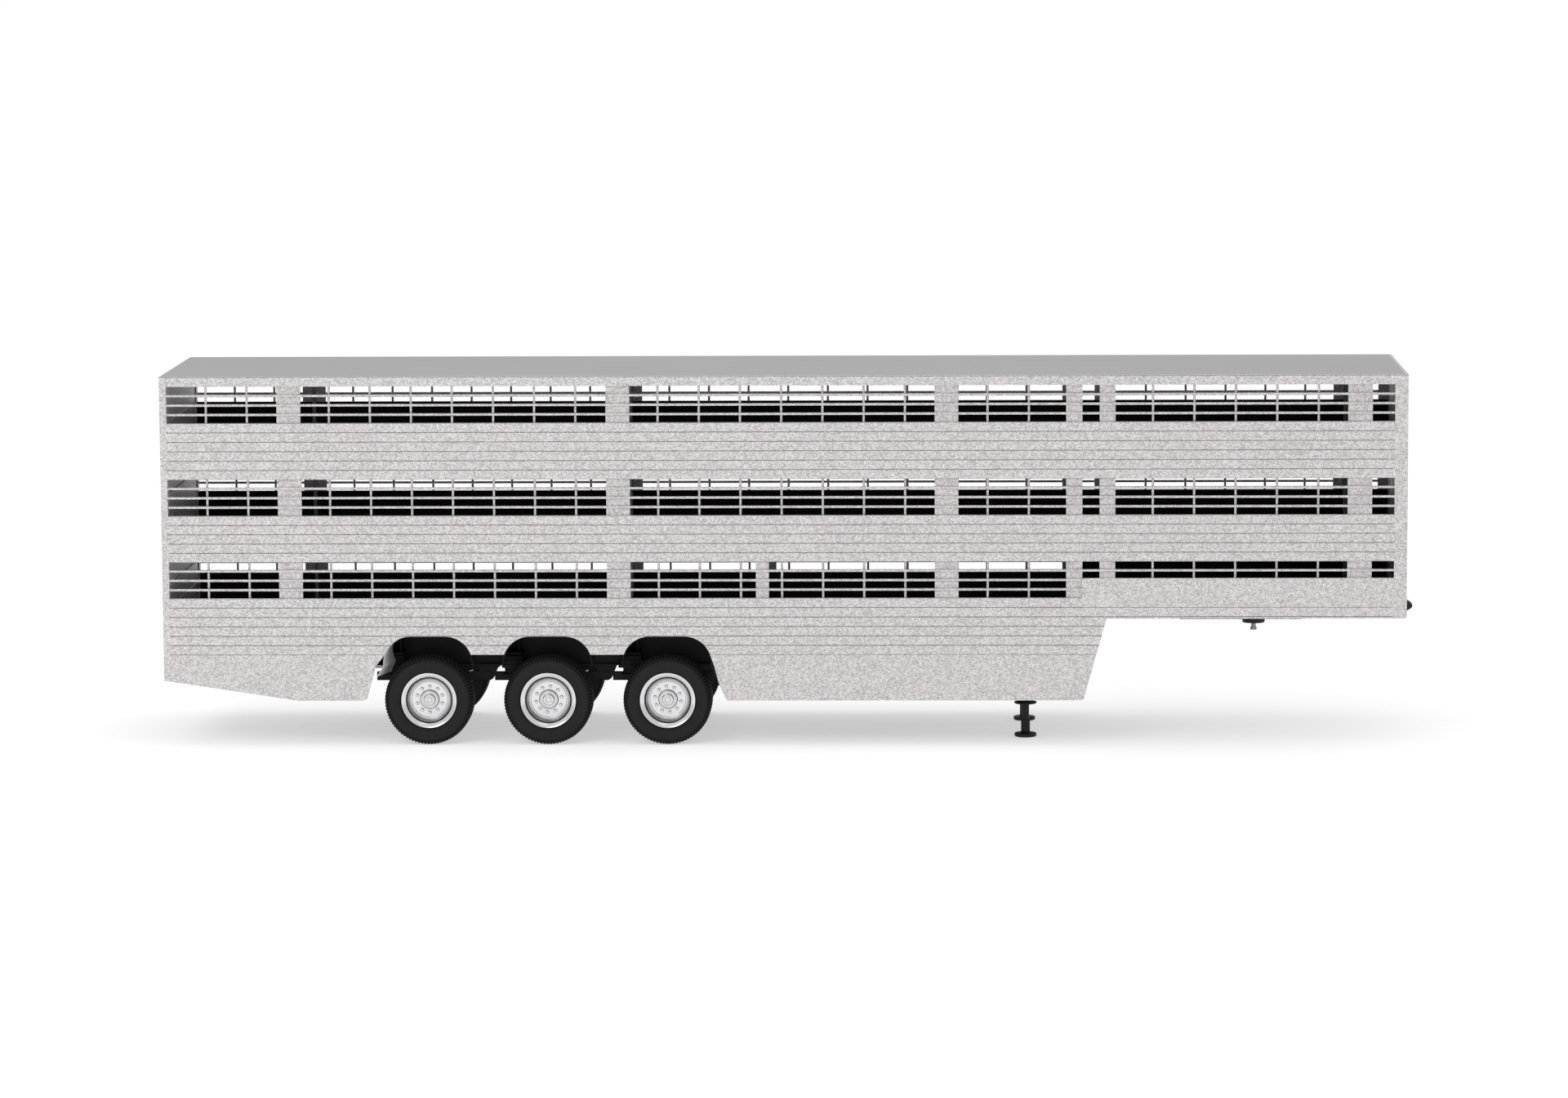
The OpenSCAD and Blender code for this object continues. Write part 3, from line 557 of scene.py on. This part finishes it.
@dataclass
class Wheel:
    """One tyre and its dished rim, in millimetres about the wheel's centre."""

    axle: str
    side: str
    tyre_r: float = 487.5
    half_w: float = 192.5
    rim_r: float = 307.5
    bead: float = 150.0
    blocks: int = 84
    per_block: int = 6
    groove: float = 15.0
    sipe: float = 5.0
    shoulder_y: float = 98.0
    rib_gaps: tuple[float, float] = (88.0, 32.0)
    disc: float = 56.0
    nut_circle: float = 143.0
    nuts: int = 10
    nut_turn: float = 0.5

    def move(self) -> np.ndarray:
        """The matrix from the wheel's own axes to the vehicle's."""
        low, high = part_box(f"tyre_{self.axle}_{self.side}")
        out = 1 if self.side == "left" else -1
        return turned((low + high) / 2, out) @ np.diag([MM, MM, MM, 1])

    def tyre_profile(self) -> np.ndarray:
        """The tyre's section: tread with four ribs, round shoulders, bulged walls and beads."""
        r, w, f, b = self.tyre_r, self.half_w, self.rim_r, self.bead
        wall = [(f - 21, b), (f + 1, b + 1), (f + 9, b + 12), (f + 15, b + 24),
                (f + 22, w - 12), (f + 24, w - 9.5), (f + 30, w - 9), (f + 34, w - 6),
                (f + 56, w - 2.5), (f + 59, w - 0.8), (f + 64, w - 0.8), (f + 67, w - 2),
                (r - 90, w), (r - 60, w - 1), (r - 44, w - 5), (r - 40, w - 6), (r - 36, w - 9),
                (r - 20, w - 14), (r - 9, w - 19), (r - 3, w - 26)]
        outer = [*wall, (r - 1, w - 44)]
        for z in self.rib_gaps:
            outer += [(r - 0.5, z + 9), (r - 12, z + 6), (r - 12, z - 6), (r, z - 9)]
        half = np.array(outer)
        inside = np.array([(f - 21, b - 30), (f + 12, b - 6), (f + 60, w - 30),
                           (r - 60, w - 30), (r - 34, w - 50)])
        mirror = np.array([1, -1])
        return np.concatenate([half, half[::-1] * mirror, inside * mirror, inside[::-1]])

    def tyre(self) -> bpy.types.Object:
        """The treaded tyre: a lathed section whose shoulder and ribs drop into cross grooves.

        Returns:
            The tyre, riding on its wheel body.
        """
        profile = self.tyre_profile()
        turns = self.blocks * self.per_block
        phase = np.arange(turns) % self.per_block
        cut = np.where(phase < 3, 1.0, 0.0)
        radius, height = profile[:, 0], np.abs(profile[:, 1])
        outside = np.arange(len(profile)) < len(profile) - 10
        shoulder = outside & (radius > self.tyre_r - 39) & (height > self.shoulder_y)
        centre = outside & (radius > self.tyre_r - 3) & (height <= self.shoulder_y)
        depth = np.where(shoulder, self.groove, 0.0)[:, None] * cut
        sipe = np.where(centre, self.sipe, 0.0)[:, None] * np.where(phase == 4, 1.0, 0.0)
        solid = Solid()
        solid.lathe(profile, turns, wobble=-(depth + sipe))
        made = solid.mesh(f"treaded_tyre_{self.axle}_{self.side}", self.move(), sharp=28)
        carry_shadow(made, self.move(), lambda r, p: 0.9 * np.where(
            np.abs(p[:, 2]) > self.shoulder_y, band(r, 440, 474, 2), r < 478))
        return finish_piece(made, f"wheel_{self.axle}_{self.side}", "tyre_rubber",
                            f"tyre_{self.axle}_{self.side}")

    def rim_profile(self) -> np.ndarray:
        """The rim's section: rolled flange, drop well, dished wall, raised ring and flat disc."""
        f, b, d = self.rim_r, self.bead, self.disc
        corners = [(f, b), (f, b + 9), (f - 6, b + 14), (f - 15, b + 10), (f - 22, b + 6),
                   (f - 50, b - 14), (f - 54, b - 26), (f - 82, d + 12), (f - 90, d + 1),
                   (f - 97, d + 6), (f - 106, d + 6), (f - 112, d),
                   (104, d), (104, d - 18), (f - 108, d - 18), (f - 92, d - 14), (f - 74, d + 10),
                   (f - 66, b - 30), (f - 64, -120), (f - 46, -b - 10), (f, -b - 10),
                   (f, -b), (f - 32, -b),
                   (f - 45, -120), (f - 52, -110), (f - 52, b - 36), (f - 26, b)]
        return round_corners(corners, 5.0)

    def nut(self, solid: Solid, angle: float) -> None:
        """Adds one wheel nut: a domed washer, a hexagon with eased ends and the stud's tip.

        Args:
            solid: what it is added to.
            angle: its place on the bolt circle, in radians.
        """
        washer = np.array([(0, 54), (20, 54), (20, 58), (18.5, 60), (0, 60)], float)
        hexagon = np.array([(0, 60), (17.6, 60), (18.4, 61), (18.4, 76), (16, 79),
                            (11.5, 80), (0, 80)], float)
        stud = np.array([(0, 78), (10.5, 78), (10.5, 86), (8.5, 88), (0, 88)], float)
        at = self.nut_circle * np.array([math.cos(angle), math.sin(angle), 0])
        for shape, sides in ((washer, 24), (hexagon, 6), (stud, 14)):
            part = Solid()
            part.lathe(shape, sides, loop=False)
            solid.add((part.points[0] + at).reshape(len(shape), sides, 3), Form.RING)

    def rim_shadow(self, r: np.ndarray, points: np.ndarray) -> np.ndarray:
        """How shaded the rim is: the dish wall, the foot of the hub and the foot of each nut.

        Args:
            r: distance from the wheel's axis.
            points: the local points.

        Returns:
            The shade of each point.
        """
        around = np.arctan2(points[:, 1], points[:, 0]) * self.nuts / (2 * np.pi)
        turn = (around - self.nut_turn + 0.5) % 1 - 0.5
        from_nut = np.hypot(r - self.nut_circle, turn * 2 * np.pi / self.nuts * self.nut_circle)
        nut = ((1 - smooth(from_nut, 17, 22)) * (1 - smooth(points[:, 2], 58, 74))
               * band(from_nut, 12, 21, 2))
        dish = 0.62 * band(r, self.rim_r - 84, self.rim_r - 58, 7)
        foot = (0.7 * band(r, 98, 105, 3) + 0.6 * band(r, 60, 64, 2)
                + 0.6 * band(r, self.rim_r - 113, self.rim_r - 110, 2))
        return dish + foot + 0.75 * nut + 0.5 * band(r, 24, 27, 2)

    def rim(self) -> bpy.types.Object:
        """The rim with its hub, cap, nuts and brake drum, as one bright piece.

        Returns:
            The rim, riding on its wheel body.
        """
        solid = Solid()
        solid.lathe(self.rim_profile(), 128)
        d = self.disc
        hub = [(46, -140), (95, -140), (95, d - 18), (104, d - 18), (104, d + 12),
               (99, d + 18), (86, d + 20), (82, d + 14), (68, d + 14), (64, d + 22),
               (62, d + 42), (56, d + 50), (40, d + 52), (37, d + 47), (26, d + 47),
               (24, d + 50), (0.01, d + 50), (0.01, 92), (46, 92)]
        solid.lathe(round_corners(hub, 3.0), 96)
        drum = [(96, 0), (205, 0), (205, -130), (188, -130), (188, -14), (96, -14)]
        solid.lathe(round_corners(drum, 4.0), 96)
        for i in range(self.nuts):
            self.nut(solid, (i + self.nut_turn) * 2 * math.pi / self.nuts)
        made = solid.mesh(f"dished_rim_{self.axle}_{self.side}", self.move(), sharp=30)
        carry_shadow(made, self.move(), self.rim_shadow)
        return finish_piece(made, f"wheel_{self.axle}_{self.side}", "wheel_chrome",
                            f"rim_{self.axle}_{self.side}")


@dataclass
class AirSprings:
    """The pair of rolling-lobe springs over one axle."""

    axle: str
    lobe: float = 9.0

    def build(self) -> bpy.types.Object:
        """Builds both bellows as lathed lobes that stretch between chassis and axle.

        Returns:
            The pair, as one piece between the chassis and the axle.
        """
        low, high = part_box(f"air_springs_{self.axle}")
        r = (high.x - low.x) / 2 / MM
        tall = (high.z - low.z) / MM
        base = [(0.01, 0), (r * 0.62, 0), (r * 0.66, tall * 0.04), (r * 0.7, tall * 0.27)]
        t = np.linspace(0, 1, 25)
        lobes = np.stack([r * (0.9 + 0.02 * t) + self.lobe * np.abs(np.sin(3 * np.pi * t)) ** 0.6,
                          tall * (0.3 + 0.62 * t)], 1)
        lobes[:, 0] = np.minimum(lobes[:, 0], r)
        top = [(r * 0.72, tall * 0.97), (r * 0.7, tall), (0.01, tall)]
        profile = np.concatenate([base, lobes, top])
        solid = Solid()
        for y in (low.y + r * MM, high.y - r * MM):
            part = Solid()
            part.lathe(profile, 64, loop=False)
            centre = np.array([(low.x + high.x) / 2, y, low.z])
            solid.add((part.points[0] * MM + centre).reshape(len(profile), 64, 3), Form.RING)
        made = solid.mesh(f"bellows_{self.axle}", np.eye(4), sharp=50)
        dress(made, "air_spring_rubber")
        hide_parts(f"air_springs_{self.axle}")
        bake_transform(made)
        return made


MATERIALS: dict[str, bpy.types.Material] = {}


def paint(piece: bpy.types.Object, slot: str) -> None:
    """Puts a slot's material on an object, made once and then shared.

    Args:
        piece: the object.
        slot: the record's slot name.
    """
    if slot not in MATERIALS:
        MATERIALS[slot] = FINISHES[slot].material(slot)
    piece.data.materials.clear()
    piece.data.materials.append(MATERIALS[slot])


def dress(piece: bpy.types.Object, slot: str) -> None:
    """Gives a piece the finish of a material slot.

    Args:
        piece: the object.
        slot: the record's slot name.
    """
    paint(piece, slot)


def finish_piece(piece: bpy.types.Object, body: str, slot: str, *nodes: str) -> bpy.types.Object:
    """Dresses a new piece, lets it ride and hides the nodes it stands for.

    Args:
        piece: the object.
        body: the body it rides on.
        slot: its material slot.
        nodes: the CAD nodes it replaces.

    Returns:
        The same object.
    """
    dress(piece, slot)
    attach(piece, body)
    if nodes:
        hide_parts(*nodes)
    LOG.info("%s: %d faces, rides on %s", piece.name, len(piece.data.polygons), body)
    return piece


# ---- Body pieces ----

@dataclass
class ArchLiner:
    """The angled sheet behind the rear wheels, closing the gap between arch and skirt."""

    flare: float = 110.0
    sheet: float = 6.0
    depth: float = 429.0
    arc_r: float = 294.0
    arc_ahead: float = 140.0
    arc_z: float = 906.0
    bend_z: float = 880.0

    def sides(self) -> tuple[np.ndarray, np.ndarray]:
        """The sheet's outline along the wall, in x and z, and its share of the way down."""
        low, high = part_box("arch_liners")
        foot_x, foot_z = low.x / MM, low.z / MM
        top_x, top_z = high.x / MM, high.z / MM
        curve = np.radians(np.linspace(118, 180, 14))
        centre = np.array([top_x + self.arc_ahead, self.arc_z])
        arc = centre + self.arc_r * np.stack([np.cos(curve), np.sin(curve)], 1)
        line = np.concatenate([arc, [[arc[-1, 0], self.bend_z]], [[foot_x + self.sheet, foot_z]]])
        line[:, 1] = np.minimum(line[:, 1], top_z - 1)
        share = smooth(line[:, 1], foot_z, line[0, 1])
        return line, 1 - share

    def build(self) -> bpy.types.Object:
        """Lofts the sheet from the wall inwards, leaning towards the wheel as it goes in and down.

        Returns:
            The pair, riding on the chassis.
        """
        low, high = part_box("arch_liners")
        line, share = self.sides()
        solid = Solid()
        inner_y = high.y / MM - self.depth
        for side in (-1, 1):
            across = np.linspace(0, 1, 9)[:, None]
            skins = []
            for thick in (0.0, self.sheet):
                x = line[:, 0] - thick + self.flare * share * across
                y = side * (high.y / MM * (1 - across) + inner_y * across)
                y = np.broadcast_to(y, x.shape)
                skins.append(np.stack([x, y, np.broadcast_to(line[:, 1], x.shape)], -1))
            front, back = skins
            loop = np.concatenate([front, back[:, ::-1]], 1)
            solid.add(loop, Form.RING)
            for end in (0, -1):
                solid.add(np.stack([front[end], back[end]]), Form.OPEN)
        made = solid.mesh("rear_arch_liners", np.diag([MM, MM, MM, 1]), sharp=40)
        return finish_piece(made, "chassis", "liner_metal", "arch_liners")


@dataclass
class CadDress:
    """Finishes for every CAD node that stays in view."""

    slots: dict[str, str]

    def build(self) -> None:
        """Gives each node its slot's finish."""
        for name, node in frame["nodes"].items():
            paint(node, self.slots[name])
        LOG.info("dressed %d frame nodes", len(self.slots))


@dataclass
class TailLamps:
    """The six round lamps in the bumper, each a lens with a raised rim and rings."""

    count: int = 3
    pitch: float = 140.0
    radius: float = 50.0

    def build(self) -> bpy.types.Object:
        """Lathes each lens about X, its face towards the rear.

        Returns:
            All six lamps as one piece, riding on the chassis.
        """
        low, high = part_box("tail_lamps")
        depth, r = (high.x - low.x) / MM, self.radius
        rings = [(r * k, depth - 4 - 1.6 * (i % 2))
                 for i, k in enumerate(np.linspace(0.78, 0.06, 14))]
        profile = np.array([(0.01, 0), (r, 0), (r, depth - 1.5), (r - 1.5, depth),
                            (r - 6, depth), (r - 7.5, depth - 4), *rings, (0.01, depth - 4)])
        solid = Solid()
        outermost = high.y / MM - r
        for side in (-1, 1):
            for i in range(self.count):
                y = outermost - i * self.pitch
                part = Solid()
                part.lathe(profile, 48, loop=False)
                p = part.points[0]
                placed = np.stack([high.x / MM - p[:, 2], side * y + p[:, 1],
                                   (low.z + high.z) / 2 / MM + p[:, 0]], 1)
                solid.add(placed.reshape(len(profile), 48, 3), Form.RING)
        made = solid.mesh("ringed_tail_lamps", np.diag([MM, MM, MM, 1]))
        return finish_piece(made, "chassis", "lamp_lens", "tail_lamps")


@dataclass
class ConnectorHood:
    """The moulded hood over the air and power connectors on the front wall."""

    ribs: int = 5

    def build(self) -> bpy.types.Object:
        """Sweeps a rounded section across, drawn in at the ends by a superellipse of order 6.

        Returns:
            The hood, riding on the chassis.
        """
        low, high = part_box("connector_hood")
        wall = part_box("front_wall")[1].x
        x0, x1, z0, z1 = low.x / MM, high.x / MM, low.z / MM, high.z / MM
        w = wall / MM
        section = round_corners([(w - 0.5, z1), (w - 0.5, z0 + 84), (x0 + 0.5, z0 + 84),
                                 (x0 + 0.5, z0), (w + 100, z0 + 11), (x1, z0 + 47),
                                 (x1, z0 + 82), (w + 50, z1)], 16.0, 5)
        across = np.linspace(-1, 1, 61)
        draw = (1 - np.abs(across) ** 6 * 0.985) ** (1 / 6)
        middle = np.array([w, (z0 + z1) / 2 - 10])
        wave = 0.5 + 0.5 * np.cos(across * np.pi * (self.ribs * 2 - 1))
        rib = 1 - 0.012 * wave * (np.abs(across) < 0.9)
        grid = []
        for a, d, k in zip(across, draw, rib):
            line = section.copy()
            proud = line[:, 0] > w
            line[proud, 0] = w + (line[proud, 0] - w) * d * k
            line[:, 1] = middle[1] + (line[:, 1] - middle[1]) * (0.75 + 0.25 * d)
            grid.append(np.stack([line[:, 0], np.full(len(line), a * high.y / MM),
                                  line[:, 1]], 1))
        grid = np.array(grid)
        solid = Solid()
        solid.add(grid, Form.RING)
        for end in (0, -1):
            centre = np.broadcast_to(grid[end].mean(0), grid[end].shape)
            solid.add(np.stack([grid[end], grid[end] * 0.5 + centre * 0.5, centre]), Form.RING)
        made = solid.mesh("moulded_connector_hood", np.diag([MM, MM, MM, 1]), sharp=35)
        return finish_piece(made, "chassis", "mudguard_plastic", "connector_hood")


# ---- Studio ----

@dataclass
class Studio:
    """A plain pale floor, soft light and the camera."""

    eye: tuple[float, float, float] = (1.928, -62.094, 9.555)
    yaw: float = -1.872
    pitch: float = 6.921
    roll: float = -0.301
    lens: float = 128.96
    floor_half: float = 400.0
    floor_grey: float = 0.72
    floor_glow: float = 0.5
    sky: float = 0.72

    def camera(self) -> None:
        """Makes the camera: it looks along +Y, turned by yaw, tipped by pitch, then rolled."""
        data = bpy.data.cameras.new("camera")
        data.sensor_width = 36.0
        data.lens = self.lens
        data.clip_end = 2000
        made = bpy.data.objects.new("camera", data)
        made.location = self.eye
        level = Euler((math.radians(90 - self.pitch), 0, -math.radians(self.yaw)),
                      "XYZ").to_matrix()
        tilt = Euler((0, 0, math.radians(self.roll)), "XYZ").to_matrix()
        made.rotation_euler = (level @ tilt).to_euler()
        bpy.context.scene.collection.objects.link(made)
        bpy.context.scene.camera = made

    def floor(self) -> None:
        """Lays the floor as a numpy grid."""
        side = np.linspace(-self.floor_half, self.floor_half, 9)
        x, y = np.meshgrid(side, side, indexing="ij")
        points = np.stack([x, y, np.zeros_like(x)], -1).reshape(-1, 3)
        data = bpy.data.meshes.new("floor")
        data.from_pydata(points, [], grid_faces(9, 9, Form.OPEN)[:, ::-1])
        made = bpy.data.objects.new("floor", data)
        g = Graph("pale_floor")
        g.set(Base_Color=(self.floor_grey,) * 3, Roughness=0.9, Specular_IOR_Level=0.0,
              Emission_Color=(1, 1, 1), Emission_Strength=self.floor_glow)
        data.materials.append(g.material)
        bpy.context.scene.collection.objects.link(made)

    def area(self, name: str, place: tuple, aim: tuple, size: tuple, power: float) -> None:
        """Adds one soft area light.

        Args:
            name: the light's name.
            place: where it hangs.
            aim: what it faces.
            size: width and height in metres.
            power: watts.
        """
        data = bpy.data.lights.new(name, "AREA")
        data.shape = "RECTANGLE"
        data.size, data.size_y = size
        data.energy = power
        made = bpy.data.objects.new(name, data)
        made.location = place
        made.rotation_euler = (Vector(aim) - Vector(place)).to_track_quat("-Z", "Y").to_euler()
        bpy.context.scene.collection.objects.link(made)

    def light(self) -> None:
        """Sets the pale surroundings and the soft lights."""
        world = bpy.data.worlds.new("studio")
        bpy.context.scene.world = world
        world.use_nodes = True
        background = world.node_tree.nodes["Background"]
        background.inputs["Color"].default_value = (1, 1, 1, 1)
        background.inputs["Strength"].default_value = self.sky
        self.area("key", (-14, -26, 20), (0, 0, 1.5), (16, 10), 1500)
        self.area("top", (2, 0, 24), (0, 0, 0), (26, 10), 500)
        bpy.context.scene.view_settings.view_transform = "Standard"

    def build(self) -> None:
        """Builds the whole studio."""
        self.camera()
        self.floor()
        self.light()


def main() -> None:
    """Builds the studio and every piece in order."""
    logging.basicConfig(level=logging.INFO, format="%(name)s %(message)s")
    Studio().build()
    slots = {s["node"]: s["material_slot"] for s in frame["record"]["subparts"]}
    CadDress(slots).build()
    for maker in (ArchLiner(), TailLamps(), ConnectorHood()):
        maker.build()
    turns = {"rear": 0.5, "middle": 0.3, "front": 0.72}
    for axle, turn in turns.items():
        for side in ("right", "left"):
            wheel = Wheel(axle, side, nut_turn=turn)
            wheel.tyre()
            wheel.rim()
        AirSprings(axle).build()


if __name__ == "__main__":
    main()
